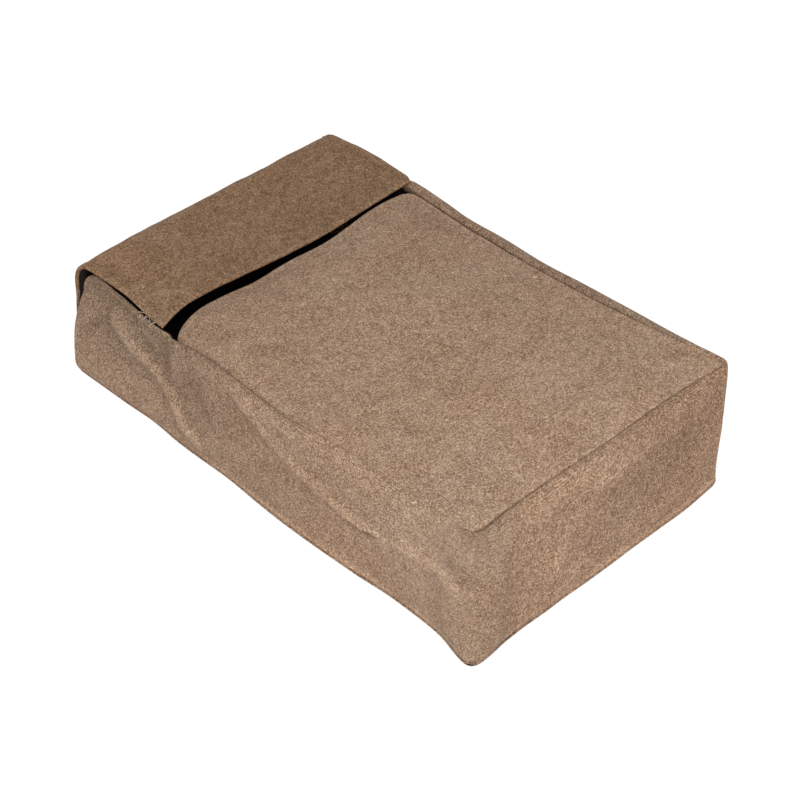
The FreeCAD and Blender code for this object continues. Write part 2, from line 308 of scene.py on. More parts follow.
def rounded_corners(x, y, half_x, low_y, high_y, low_round, high_round):
    """Bends a rectangular grid so that its corners are round. Also gives the distance from the outline."""
    low = y < (low_y + high_y) / 2
    side, outward = np.sign(x), np.where(low, -1.0, 1.0)
    radius = np.where(low, low_round, high_round)
    centre_x, centre_y = side * (half_x - radius), np.where(low, low_y + radius, high_y - radius)
    p, q = (x - centre_x) * side / radius, (y - centre_y) * outward / radius
    corner = (p > 0) & (q > 0)
    p, q = p * np.sqrt(np.clip(1 - q * q / 2, 0, 1)), q * np.sqrt(np.clip(1 - p * p / 2, 0, 1))
    straight = np.minimum(half_x - np.abs(x), np.minimum(y - low_y, high_y - y))
    from_edge = np.where(corner, radius * (1 - np.hypot(p, q)), straight)
    x = np.where(corner, centre_x + side * p * radius, x)
    y = np.where(corner, centre_y + outward * q * radius, y)
    return x, y, np.maximum(from_edge, 0)


# --- cloth to mesh


def quilted(outside, from_edge, thick, edge_thick):
    """Both faces of a cloth piece whose outside is given. It thins to edge_thick and its edge is round."""
    normal = grid_normals(outside)
    thickness = edge_thick + (thick - edge_thick) * ease(0, 12, from_edge)
    roundness = np.clip(from_edge / np.maximum(edge_thick / 2, 0.01), 0, 1)
    half = thickness / 2 * np.sqrt(np.clip(1 - (1 - roundness) ** 2, 0, 1))
    middle = outside - normal * (thickness / 2)[..., None]
    return middle + normal * half[..., None], middle - normal * half[..., None]


def proud_and_hollow(grid, reach=4, depth=0.35):
    """Where a surface stands proud of its surroundings, and where it lies in a hollow, each 0 to 1: masks for
    wear with a painted highlight, and for painted shade.
    """
    proud = ((grid - blurred(grid, reach)) * grid_normals(grid)).sum(2) / depth
    return np.clip(proud, 0, 1), np.clip(-proud, 0, 1)


def cloth_piece(name, outer, inner, uv, lined, cloth, **marks):
    """A closed piece from the outer and inner face of its cloth, which share their border.

    The inner face is lining where lined is true. A mark for the materials is a value on the outer face, or
    a pair for both faces.
    """
    shape = outer.shape[:2]
    index = np.arange(outer[..., 0].size).reshape(shape)
    quads = np.stack([index[:-1, :-1], index[1:, :-1], index[1:, 1:], index[:-1, 1:]], -1).reshape(-1, 4)
    faces = np.concatenate([quads, quads[:, ::-1] + index.size])
    mesh = bpy.data.meshes.new(name)
    mesh.from_pydata((np.stack([outer, inner]).reshape(-1, 3) * MM).tolist(), [], faces.tolist())
    both = np.tile(uv.reshape(-1, 2), (2, 1))[faces.reshape(-1)] * MM
    mesh.uv_layers.new(name="cloth").data.foreach_set("uv", both.reshape(-1).astype(np.float32))
    slots = np.stack([np.zeros(shape), np.broadcast_to(lined, shape)])[:, :-1, :-1]
    mesh.polygons.foreach_set("material_index", slots.reshape(-1).astype(np.int32))
    for mark, value in marks.items():
        pair = value if isinstance(value, tuple) else (value, 0)
        values = np.concatenate([np.broadcast_to(face, shape).reshape(-1) for face in pair])
        mesh.attributes.new(mark, "FLOAT", "POINT").data.foreach_set("value", values.astype(np.float32))
    shell = bmesh.new()
    shell.from_mesh(mesh)
    bmesh.ops.remove_doubles(shell, verts=shell.verts, dist=1e-6)
    bmesh.ops.dissolve_degenerate(shell, dist=1e-7, edges=shell.edges)
    for face in shell.faces:
        face.smooth = True
    shell.to_mesh(mesh)
    shell.free()
    return add_piece(name, mesh, [ready_material(cloth), ready_material("dark_lining")])


def add_piece(name, mesh, materials=()):
    piece = bpy.data.objects.new(name, mesh)
    bpy.context.scene.collection.objects.link(piece)
    for look in materials:
        mesh.materials.append(look)
    return piece


# --- materials


class Signal:
    """A node's output that can be used in arithmetic."""

    def __init__(self, nodes, socket):
        self.nodes, self.socket = nodes, socket

    def __getitem__(self, name):
        """Another output of the same node."""
        return Signal(self.nodes, self.socket.node.outputs[name])

    def by(self, operation, *others):
        return self.nodes.node("ShaderNodeMath", dict(enumerate((self, *others))), operation=operation)

    def __add__(self, other):
        return self.by("ADD", other)

    def __sub__(self, other):
        return self.by("SUBTRACT", other)

    def __rsub__(self, other):
        return self * -1 + other

    def __mul__(self, other):
        return self.by("MULTIPLY", other)

    __radd__, __rmul__ = __add__, __mul__


class Nodes:
    """Builds the nodes of a tree."""

    def __init__(self, tree):
        self.tree = tree
        tree.nodes.clear()

    def node(self, kind, sockets=(), output=0, **settings):
        """Adds a node: its settings first, then its sockets' values or links. Gives one of its outputs."""
        node = self.tree.nodes.new(kind)
        for key, value in settings.items():
            setattr(node, key, value)
        for key, value in dict(sockets).items():
            if isinstance(value, Signal):
                self.tree.links.new(value.socket, node.inputs[key])
            else:
                node.inputs[key].default_value = value
        return Signal(self, node.outputs[output]) if node.outputs else None

    def backdrop_rays(self):
        """1 for the rays that find the white backdrop: from the camera, a gloss or something clear."""
        rays = self.node("ShaderNodeLightPath")
        return rays.by("MAXIMUM", rays["Is Glossy Ray"]).by("MAXIMUM", rays["Is Transmission Ray"])


class Shader(Nodes):
    """Builds a material's nodes."""

    def __init__(self, name):
        self.material = bpy.data.materials.new(name)
        self.material.use_nodes = True
        super().__init__(self.material.node_tree)

    def noise(self, where, scale, detail=2.0, rough=0.5, warp=0.0):
        """Noise from about -1 to 1."""
        value = self.node("ShaderNodeTexNoise", {"Vector": where, "Scale": scale, "Detail": detail,
                                                 "Roughness": rough, "Distortion": warp})
        return (value - 0.5) * 4

    def cells(self, where, scale):
        """A random value from 0 to 1 for each cell."""
        colour = self.node("ShaderNodeTexVoronoi", {"Vector": where, "Scale": scale}, 1)
        return self.node("ShaderNodeSeparateXYZ", {0: colour})

    def above(self, value, start, end):
        """0 where a value is under start, 1 where it is over end."""
        return self.node("ShaderNodeMapRange", {0: value, 1: start, 2: end}, interpolation_type="SMOOTHSTEP")

    def mix(self, factor, first, second):
        """Mixes two colours."""
        return self.node("ShaderNodeMix", {0: factor, 6: first, 7: second}, 2, data_type="RGBA")

    def scaled(self, colour, factor):
        """A colour times a number."""
        return self.node("ShaderNodeVectorMath", {0: colour, 3: factor}, operation="SCALE")

    def mark(self, name):
        return self.node("ShaderNodeAttribute", output=2, attribute_name=name)

    def finish(self, colour, roughness, height, depth, specular):
        """The closing shader."""
        bump = self.node("ShaderNodeBump", {"Strength": 1.0, "Distance": depth, "Height": height})
        surface = self.node("ShaderNodeBsdfPrincipled", {
            "Base Color": colour, "Roughness": roughness, "Normal": bump, "Specular IOR Level": specular})
        self.node("ShaderNodeOutputMaterial", {0: surface})
        return self.material


def rgba(colour):
    return (*colour, 1.0)


def canvas_material(name, dark, light, tints, heather, mottled, ribs):
    """Twill canvas of dark and light yarn. Ribs follow the cloth's own length. Ridges are worn paler and carry
    a painted highlight; hollows, seam grooves and the foot get painted shade, and broad areas are painted paler
    or darker for light and shade.
    """
    shader = Shader(name)
    place = shader.node("ShaderNodeTexCoord")["Object"]
    cloth = shader.node("ShaderNodeUVMap", uv_map="cloth")
    across = shader.node("ShaderNodeSeparateXYZ", {0: cloth}, 1)
    yarns = shader.cells(place, YARNS_PER_METRE).by("POWER", 1.5) * 2.0 - 0.8
    grain = shader.noise(place, 600.0, 1.0)
    mottle = shader.noise(place, 150.0)
    patches = shader.noise(place, 30.0, 2.0, 0.55)
    drift = shader.noise(place, 11.0, 1.0)
    wavering = across + shader.noise(place, 40.0, 1.0) * 0.0003
    rib = (wavering * (2 * math.pi / RIB)).by("SINE")
    rib_patches = shader.above(shader.noise(place, 38.0, 2.0, 0.6), 0.1, 0.8)
    wear, hollow, fade, taut = (shader.mark(mark) for mark in ("wear", "hollow", "fade", "taut"))
    plain = (1.0 + shader.mark("yarn")) * heather
    share = 0.41 + plain * (yarns * 0.47 + grain * 0.12) + mottle * mottled + patches * 0.06 + drift * 0.03
    share = share + rib * (0.015 + taut * (rib_patches * (0.15 * ribs) + 0.03))
    lint = shader.above(shader.cells(place, LINT_PER_METRE), 0.9985, 0.9992)
    share = (share + lint * 0.9).by("MAXIMUM", 0.0).by("MINIMUM", MOST_LIGHT)
    dark, light = Vector(dark), Vector(light)
    yarn = shader.mix(share * (1 / MOST_LIGHT), rgba(dark), rgba(dark + (light - dark) * MOST_LIGHT))
    tint = shader.mix(shader.above(drift + patches * 0.5, -0.7, 0.7), *[rgba(t) for t in tints])
    tint = shader.mix(shader.mark("warm"), tint, rgba(WARM_TINT))
    paint = shader.node("ShaderNodeVectorMath", {0: tint, 1: yarn}, operation="MULTIPLY")
    # Painted light and shade: proud cloth lighter for wear and highlight, hollows darker, broad painted light
    # and shade, and painted shade in seam grooves and at the foot
    level = (1.0 + wear * 0.14 - hollow * 0.12 + fade * 0.2) * (1.0 - shader.mark("seam") * 0.5)
    height = yarns * 0.3 + grain * 0.35 + rib * (0.2 + taut * rib_patches * 0.6)
    rough = 0.93 - wear * 0.06 + grain * 0.02
    return shader.finish(shader.scaled(paint, level), rough, height, 0.00022, 0.25)


def lining_material(name, colour):
    """Thin plain-woven lining, near black with a trace of maroon; the near black is partly its own colour and
    partly painted shade for the deep inside.
    """
    shader = Shader(name)
    place = shader.node("ShaderNodeTexCoord")["Object"]
    along = shader.node("ShaderNodeSeparateXYZ", {0: shader.node("ShaderNodeUVMap", uv_map="cloth")})
    ends, picks = ((way * (2 * math.pi / LINING_YARN)).by("SINE") for way in (along, along["Y"]))
    weave = ends * picks
    creases = shader.noise(place, 45.0, 3.0, 0.6, 0.6)
    # Proud parts of the lining are lighter, as wear and a painted highlight
    level = 1.0 + weave * 0.12 + creases * 0.18 + shader.mark("wear") * 0.3
    paint, rough = shader.scaled(tuple(colour), level), 0.7 - weave * 0.08
    return shader.finish(paint, rough, weave * 0.3 + creases, 0.0003, 0.3)


def thread_material(name, colour):
    """Spun sewing thread, with the twist of its strands."""
    shader = Shader(name)
    place = shader.node("ShaderNodeTexCoord")["Object"]
    twist = shader.node("ShaderNodeTexWave", {"Vector": place, "Scale": 900.0, "Distortion": 1.0}, 1,
                        bands_direction="DIAGONAL")
    level = 0.85 + twist * 0.25 + shader.noise(place, 400.0, 1.0) * 0.12
    return shader.finish(shader.scaled(tuple(colour), level), 0.75 + twist * 0.1, twist, 0.0001, 0.3)


def ready_material(name):
    """One of the sleeve's materials, made the first time it is asked for."""
    colours = bpy.context.scene.sleeve_colours
    make, *looks = {
        "heather_canvas": (canvas_material, colours.canvas_dark, colours.canvas_light,
                           ((1.015, 0.99, 0.985), (0.99, 1.0, 1.01)), 1.0, 0.1, 1.0),
        "dark_flap_canvas": (canvas_material, colours.flap_dark, colours.flap_light,
                             ((1.02, 0.99, 0.97), (0.985, 1.0, 1.01)), 0.95, 0.14, 0.35),
        "dark_lining": (lining_material, colours.lining),
        "brown_thread": (thread_material, colours.thread),
        "pale_loose_thread": (thread_material, colours.loose_thread),
    }[name]
    return bpy.data.materials.get(name) or make(name, *looks)


# --- outline of the soft box

# How far the front panel's side seams lean outwards (+X) at places along Y, in millimetres
LEFT_LEAN = [(-177, 0), (-110, -1), (-56, -2), (-18, -3), (19, -2.5), (50, -1.5), (82, -2.5), (98, -3.5),
             (118, -3), (135, -2), (150, -1), (172, 0.8), (183, 0)]
RIGHT_LEAN = [(-177, 0), (-95, -1.5), (-47, -3.5), (0, -4.8), (24, -5), (91, -3.5), (120, -1.5), (183, -1)]
# How high they lie over the plane of the top: they sag, so below 0
LEFT_SAG = [(-177, 0), (-110, -0.8), (-56, -2.2), (-18, -5), (19, -3.8), (50, -2.8), (82, -4.6), (98, -6.4),
            (115, -6.2), (130, -4.4), (150, -3.3), (165, -3.3), (183, -3.4)]
RIGHT_SAG = [(-177, 0), (-140, -0.8), (-85, -3.8), (-33, -5), (24, -4), (82, -2.4), (108, -2.2), (122, -4),
             (150, -2.5), (183, -2)]
# How far the seam at the closed end leans towards the mouth (+Y), at places along X
END_LEAN = [(-112, 1.6), (-90, 2.4), (0, 2.6), (90, 2), (112, 0)]
# The front panel's lip, along X: how far it leans towards the mouth, and how high it lies over the seams
LIP_LEAN = [(-112, -4.5), (-103, -2.8), (-92, 1.4), (-81, 4), (-63, 4.5), (-38, 2.2), (-5, 0.6), (20, -1.5),
            (40, -0.6), (63, 2.3), (85, 4.1), (112, 2.5)]
LIP_SAG = [(-112, -1.5), (-85, -0.3), (-60, -1.4), (-38, -3), (-5, -2), (30, -1.2), (63, 0), (112, 0)]
# How far the back panel's seam lies from its place in the CAD model: at the sides in X, at the end in Y
BASE_LEFT = [(-184, 2), (-150, 4.5), (-115, 5), (-80, 2.2), (-20, 0.2), (45, 1.8), (78, 1), (110, 2.1),
             (150, 0.6), (186, -0.5)]
BASE_RIGHT = [(-184, 1.8), (-150, -3), (-90, -2), (-20, -3), (60, -1.5), (186, 0)]
BASE_END = [(-119, -2), (-95, -2.4), (-75, -2.2), (-50, -2.4), (-40, -2.4), (0, -2.6), (31, -2.4), (84, -1.8),
            (119, 1)]
# The belly of the walls, along their path from the left tip round to the right tip: how far out, and how high
BELLY_OUT = [(0, 12.6), (53, 10.8), (101, 8.5), (163, 7), (203, 6.5), (253, 7.5), (313, 7.5), (341, 8),
             (356, 12), (372, 10.5), (465, 11), (525, 9.5), (561, 8), (576, 6.3), (600, 6), (700, 7.5),
             (934, 9.5)]
BELLY_HEIGHT = [(0, 18), (53, 22), (101, 28), (163, 38), (203, 48), (253, 51), (313, 49), (356, 40), (372, 36),
                (560, 36), (930, 32)]
# How far the roll above the right wall stands out from its seam, at places along Y
RIGHT_ROLL = [(-177, 5.8), (-140, 6.5), (-95, 10), (-60, 12.2), (-20, 11.6), (20, 12.6), (48, 11.2), (70, 12.4),
              (104, 12), (130, 8), (183, 7)]
# Where the canvas is painted paler (1) or darker (-1) for light and shade: the walls along their path, the
# panel along Y
WALL_PAINTED_LIGHT = [(0, -1.1), (60, -1.15), (100, -0.9), (150, -0.35), (190, 0.2), (240, 0.5), (300, 0.5), (335, 0.3),
             (342, 0), (350, -0.7), (366, -0.9), (378, -0.2), (396, 0.45), (450, 0.2), (520, -0.3), (545, -0.1),
             (570, 0.2), (620, -0.6), (934, -0.2)]
PANEL_PAINTED_LIGHT = [(-177, 0.6), (-110, 0.5), (0, 0.25), (97, -0.25)]


def top_z(y):
    """Height of the top of the sleeve, where it is neither crowned nor sagging."""
    return PANEL_HIGH[2] - SLOPE * (y - SEAM_END_Y)


def seam_shift(x, y):
    """How far the top's cloth moves from its place in the CAD model."""
    left, right = ease(15, -SEAM_X, x), ease(-15, SEAM_X, x)
    by_x = left * through(y, LEFT_LEAN) + right * through(y, RIGHT_LEAN)
    by_y = through(x, END_LEAN) * ease(-120, SEAM_END_Y, y)
    by_z = left * through(y, LEFT_SAG) + right * through(y, RIGHT_SAG)
    near = hump(np.hypot(x + SEAM_X - 4.7, y - SEAM_END_Y - 4.7), 0, 9)
    far = hump(np.hypot(x - SEAM_X + 1.8, y - SEAM_END_Y - 1.8), 0, 20)
    return by_x - 3.4 * near + 3 * far, by_y - 3 * near, by_z


def base_shift(x, y):
    """How far the back panel's cloth moves from its place in the CAD model."""
    left, right = ease(-40, -BASE_X + 8, x), ease(40, BASE_X - 8, x)
    by_x = left * through(y, BASE_LEFT) + right * through(y, BASE_RIGHT)
    by_y = through(x, BASE_END) * ease(-130, BASE_END_Y + 5, y)
    near_in, far_in = ((r + BASE_SPREAD) * (1 - math.sqrt(0.5)) for r in (LEFT_CORNER, RIGHT_CORNER))
    near = hump(np.hypot(x + BASE_X - near_in, y - BASE_END_Y - near_in), 0, 12.5)
    far = hump(np.hypot(x - BASE_X + far_in, y - BASE_END_Y - far_in), 0, 11)
    return by_x - 9 * near + 2 * far, by_y - 7 * near


def wall_path(cell):
    """Places (x, y) along the front panel's seam line from tip to tip, outward normals, and the way along."""
    halves = []
    for side, radius in ((-1.0, LEFT_CORNER), (1.0, RIGHT_CORNER)):
        turn_x, turn_y = SEAM_X - radius, SEAM_END_Y + radius
        down = np.concatenate([EDGE_STEPS, np.arange(EDGE_STEPS[-1] + cell, TIP_Y - turn_y, cell)])
        turn = np.linspace(0, math.pi / 2, CORNER_POINTS)
        across = np.linspace(turn_x, 0, round(turn_x / cell) + 1)[1:]
        x = np.concatenate([SEAM_X + 0 * down, turn_x + radius * np.cos(turn), across])
        y = np.concatenate([TIP_Y - down, turn_y - radius * np.sin(turn), SEAM_END_Y + 0 * across])
        angle = np.concatenate([0 * down, turn, math.pi / 2 + 0 * across])
        halves.append((np.stack([side * x, y], 1), np.stack([side * np.cos(angle), -np.sin(angle)], 1)))
    place, normal = (np.concatenate([left, right[-2::-1]]) for left, right in zip(*halves))
    return place, normal, ways(place[None])[0]


# --- walls


def wall_outside(cell):
    """Outside of the walls as a grid: along the path, then from the bottom seam up to the top seam."""
    place, normal, way = wall_path(cell)
    x, y = place.T
    out, up = np.pad(normal, ((0, 0), (0, 1))), np.array([0, 0, 1.0])
    by_x, by_y, sag = seam_shift(x, y)
    from_tip = TIP_Y - y
    round_off = TIP_ROUND - np.sqrt(np.clip(TIP_ROUND**2 - (TIP_ROUND - from_tip) ** 2, 0, None))
    drop = TIP_TALL * np.where(from_tip < TIP_ROUND, round_off, 0)
    free = ease(0, 14, y - np.where(x < 0, LIP_Y - 16, LIP_Y + 8))[:, None]
    by_y = by_y + 1.5 * ease(18, 2, from_tip) * (x < 0)
    seam = np.stack([x + by_x, y + by_y, top_z(y) + sag - drop], 1)
    base_at = place + normal * BASE_SPREAD
    base = np.pad(base_at + np.stack(base_shift(*base_at.T), 1), ((0, 0), (0, 1)))
    belly_z = through(way, BELLY_HEIGHT) * (seam[:, 2] / 100)
    belly = np.concatenate([place + normal * through(way, BELLY_OUT)[:, None], belly_z[:, None]], 1)
    end_wall = (ease(SEAM_X - 2, SEAM_X - 22, np.abs(x)) * (y < SEAM_END_Y + 1))[:, None]
    rolled_over = (ease(60, 100, x) * (y > SEAM_END_Y + 2) * (through(y, RIGHT_ROLL) - SHOULDER))[:, None]
    sharp = (ease(SEAM_X - 34, SEAM_X - 3, x) * ease(SEAM_END_Y + 34, SEAM_END_Y + 3, y))[:, None]
    reach = SHOULDER + 3.4 * end_wall * (1 - sharp) + rolled_over - 3 * sharp
    steep = 1 - 0.6 * sharp
    shoulder_foot = seam + out * reach * (1 - free) - up * (6.5 + 3 * end_wall) * steep

    # Control points up the wall: round the bottom seam, out to the belly, up to the shoulder, into the seam
    controls = [base - out * 5 + up * 1.7, base - out * 1.5 + up * 1.8, base + up * 2.6]
    for part in (0.25, 0.55, 0.85):
        lift = math.sin(part * math.pi / 2)
        controls.append(base + (belly - base) * [lift, lift, part] + up * 0.8)
    for part in (0.0, 0.18, 0.36, 0.54, 0.72, 0.88):
        lean = part ** (1.6 + 1.6 * ease(90, 150, y))
        controls.append(belly + (shoulder_foot - belly) * np.stack([lean, lean, np.full_like(lean, part)], 1))
    controls.append(shoulder_foot)
    dive = (seam_depth(x, y) / 2.5)[:, None]
    rolled = [seam + out * reach * 0.86 - up * (2.2 + end_wall + rolled_over * 0.12) * steep,
              seam + out * reach * 0.5 + up * (0.1 - rolled_over * 0.08),
              seam + out * (0.7 + 0.6 * dive) - up * (0.1 * dive), seam + out * 0.2 - up * (1.1 * dive),
              seam - out * 1.8 - up * (0.4 + 1.6 * dive)]
    cut = [seam - up * below for below in (4.5, 2.9, 1.8, 0.8, 0)]
    controls += [a * (1 - free) + b * free for a, b in zip(rolled, cut)]
    rows = spline(np.stack(controls, 1), WALL_POINTS)
    length = ways(rows)[:, -1]
    top_steps = EDGE_STEPS[::-1]
    count = round(float(np.median(length)) / cell)
    low_steps = EDGE_STEPS[:6]
    places = np.stack([np.concatenate([low_steps, np.linspace(low_steps[-1], end - top_steps[0], count)[1:-1],
                                       end - top_steps]) for end in length])
    grid = along_rows(rows, places)
    from_top = length[:, None] - places
    corner_up = (from_top + drop[:, None]) / TIP_TALL
    tip_away = np.minimum(way, way[-1] - way)[:, None] + np.zeros_like(places)
    in_corner = (tip_away < TIP_ROUND) & (corner_up < TIP_ROUND)
    from_edge = np.where(in_corner, TIP_ROUND - np.hypot(TIP_ROUND - tip_away, TIP_ROUND - corner_up),
                         np.minimum(tip_away, from_top))
    from_edge = np.clip(np.minimum(from_edge, places), 0, None)
    return grid, out, way, places, from_top, from_edge, free


# Creases of the left wall, as points (y, z): below the flap, along the wall, and at the near corner
FIRST_CREASE = [(147, 86), (139, 69), (123, 60), (98, 53), (83, 41), (73, 25), (52, 12)]
LONG_CREASE = [(36, 88), (2, 73), (-15, 65), (-35, 58), (-54, 55), (-78, 52), (-99, 51), (-119, 53)]
CORNER_CREASE = [(-113, 56), (-135, 61), (-157, 60), (-170, 54), (-180, 48)]
# Where its cloth tucks in under the long crease
TUCK = [(-56, 50), (-66, 49), (-82, 49), (-99, 50.5), (-113, 50)]
# All creases and hollows, each (height, width, line). A line's points are (y, z), or (x, z) on the closed end
LEFT_CREASES = [
    (3.2, 6.5, FIRST_CREASE), (2.2, 6, LONG_CREASE), (1.6, 6, CORNER_CREASE),
    (-1.2, 14, [(166, 64), (138, 40), (112, 12)]), (-0.6, 9, [(112, 74), (88, 44), (68, 18)]),
    (-0.5, 16, [(80, 62), (55, 40), (30, 18)]), (-0.9, 15, [(-20, 30), (-70, 26), (-125, 24), (-150, 18)]),
    (-0.8, 6, [(-158, 76), (-174, 66), (-186, 50)])]
END_CREASES = [
    (0.9, 3.5, [(-101, 80), (-102, 72), (-99, 64), (-95, 56)]), (1.0, 12, [(112, 60), (70, 30), (30, 14)]),
    (1.3, 10, [(48, 92), (20, 84), (-14, 76), (-40, 60), (-48, 42), (-44, 22)])]
RIGHT_CREASES = [(-1.4, 16, [(120, 70), (60, 40), (10, 20)]), (1.3, 12, [(60, 74), (0, 60), (-90, 52)])]
# Where they are painted paler, for wear and a painted highlight on the folds, or darker with painted shade
# where the height is negative
LEFT_PAINTED_LIGHT_AND_WEAR = [
    (0.65, 6, FIRST_CREASE), (0.25, 7, LONG_CREASE), (0.8, 8, CORNER_CREASE),
    (0.5, 5, [(146, 30), (106, 28), (86, 20)]), (-0.9, 5, [(-160, 74), (-172, 67), (-181, 58)]),
    (-0.6, 7, [(74, 72), (58, 56), (42, 36)]), (-2.4, 1.8, [(-56, 48), (-82, 46.5), (-106, 48)])]
END_PAINTED_LIGHT_AND_WEAR = [(0.5, 6, [(-40, 88), (4, 84), (40, 83), (58, 84)]), (0.7, 4, [(-42, 62), (-50, 48), (-46, 30)])]


def ridges(a, b, lines):
    """The sum of ridges, each (height, width, line)."""
    return sum(height * ridge(a, b, line, width) for height, width, line in lines)


def wall_parts(x, y):
    """Where the left wall is and where the closed end is, each 0 to 1."""
    return ease(-70, -100, x) * ease(-189, -181, y), ease(-160, -180, y) * ease(-120, -106, x)


def wall_creases(x, y, z, way, seed):
    """How far the walls' cloth stands out or in, in millimetres, beyond its even belly."""
    on_left, on_end = wall_parts(x, y)
    tuck, along = beside(y, z, TUCK)
    ends = ease(0, 0.3, along) * ease(1, 0.7, along)
    tucked = ends * np.where(tuck < 0, 1.2 * np.exp(-np.abs(tuck) / 7), -2.6 * np.exp(-np.abs(tuck) / 5))
    left = ridges(y, z, LEFT_CREASES) + tucked
    end = ridges(x, z, END_CREASES)
    end -= 1.0 * hump(x, 74, 32) * hump(z, 62, 24) + 0.6 * hump(x, -8, 30) * hump(z, 40, 24)
    right = ease(70, 100, x) * ridges(y, z, RIGHT_CREASES)
    waves = 0.45 * rumple(way, z, 80, seed) + 0.08 * rumple(way, z, 26, seed + 1)
    return on_left * left + on_end * end + right + waves


def wall_fade(x, y, z, way, places):
    """Where the walls' canvas is painted paler, on folds (partly wear) and at the foot, and where it gets
    painted shade: in hollows, under the flap and at the near corner.
    """
    on_left, on_end = wall_parts(x, y)
    left = ridges(y, z, LEFT_PAINTED_LIGHT_AND_WEAR) + 1.5 * ease(10, 7, places) * ease(70, 50, y)
    end = ridges(x, z, END_PAINTED_LIGHT_AND_WEAR)
    end -= 0.6 * hump(x, 74, 34) * hump(z, 66, 17) + 0.4 * hump(x, 30, 26) * hump(z, 58, 12)
    end += 0.3 * ease(40, 15, z) * ease(-60, 10, x) + 1.3 * ease(12, 5, z) * ease(-30, 10, x)
    fade = through(way, WALL_PAINTED_LIGHT) * (1 - 1.1 * ease(62, 25, z) * (way < 190))
    return fade + on_left * left + on_end * end + 2.2 * ease(6, 1, places)


class SLEEVE_OT_walls(bpy.types.Operator):
    """Make the wall strip: two sides and the closed end, with foam, lining and faced mouth edges"""

    bl_idname = "sleeve.walls"
    bl_label = "Walls"

    def execute(self, context):
        sizes = context.scene.sleeve_sizes
        grid, out, way, places, from_top, from_edge, free = wall_outside(sizes.cell / MM)
        way = way[:, None]
        x, y, z = np.moveaxis(grid, 2, 0)
        calm = ease(0, 14, from_top) * ease(0, 16, places)
        grid = grid + out[:, None] * (wall_creases(x, y, z, way, sizes.seed) * calm)[..., None]
        from_mouth = np.minimum(way, way[-1] - way)
        bottom = ease(20, 0, places)
        edge_thick = (1 - free) * seam_depth(x, y) + free * WALL_EDGE
        edge_thick = edge_thick * (1 - bottom) + WALL_EDGE * bottom
        edge_thick = np.where(from_mouth < 20, WALL_EDGE, edge_thick)
        outer, inner = quilted(grid, from_edge, sizes.wall / MM, edge_thick)
        facing = from_mouth < sizes.facing / MM
        inner = inner - grid_normals(grid) * (FACING * facing * ease(0, 3, from_edge))[..., None]
        # Masks for wear with a painted highlight on proud cloth, and for painted shade in hollows
        wear, hollow = proud_and_hollow(outer)
        # Painted light and shade on the walls, with wear on the folds, and painted shade along the left top
        # seam
        fade = wall_fade(x, y, z, way, places) - ease(8, 1, from_top) * seam_shade(x, y)
        # Painted shade in the top seam's groove, and a painted contact shadow along the foot of the closed end
        line = 1.5 + 1.1 * (x > 100)
        seam = ease(line + 1.1, line, from_top) * seam_groove_shade(x, y) * (1 - free)
        seam = np.maximum(seam, ease(2.2, 0.8, places) * foot_contact_shadow(x) * (y < -170))
        on_end = ease(-160, -182, y) * ease(-118, -90, x)
        yarn = 0.03 + 0.19 * on_end * ease(12, 34, from_top)
        yarn -= 0.2 * ease(-120, -160, y) * ease(-80, -105, x)
        piece = cloth_piece(
            "wall_cloth", outer, inner, np.stack([way + 0 * places, places], -1), ~facing, "heather_canvas",
            wear=wear * ease(3, 20, from_top), hollow=hollow, seam=seam, fade=fade, yarn=yarn,
            taut=ease(40, 10, from_top) * (x < 100), warm=on_end * (0.35 + 0.65 * ease(-10, 70, x)))
        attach(piece, "sleeve")
        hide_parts("wall_strip", "left_pad", "right_pad", "end_pad", "wall_lining", "left_facing",
                    "right_facing")
        return {"FINISHED"}


# --- top seam and front panel


def seam_shade(x, y):
    """How much painted shade darkens the cloth along the left top seam."""
    return 1.2 * ease(-50, 0, y) * ease(92, 70, y) * (x < 0)


def foot_contact_shadow(x):
    """Where a painted contact shadow shows along the foot of the closed end, 0 to 1."""
    return ease(-122, -112, x) * ease(-38, -44, x)


def seam_groove_shade(x, y):
    """How strongly painted shade marks the groove of the top seam, 0 to 1."""
    right = 0.5 * ease(-120, -90, y) + 0.5 * ease(-25, 10, y)
    side = np.where(x < 0, 0.35 * ease(-70, 10, y), right)
    end = 0.8 * ease(-108, -105.5, x) * ease(SEAM_X + 4, SEAM_X - 22, x)
    return np.where(y < SEAM_END_Y + 5, end, side)


def seam_depth(x, y):
    """Thickness of the front panel's edge at its seam, which sets how deep a groove the seam lies in."""
    left = 1.1 + 2.2 * ease(-80, 0, y)
    right = 1.6 + 3.2 * ease(-155, -120, y)
    end = 2.0 * ease(-SEAM_X + 1, -SEAM_X + 5, x) * ease(SEAM_X, SEAM_X - 12, x) + 0.6
    side = np.where(x < 0, left, right)
    return np.where(y < SEAM_END_Y + 6, end, side)


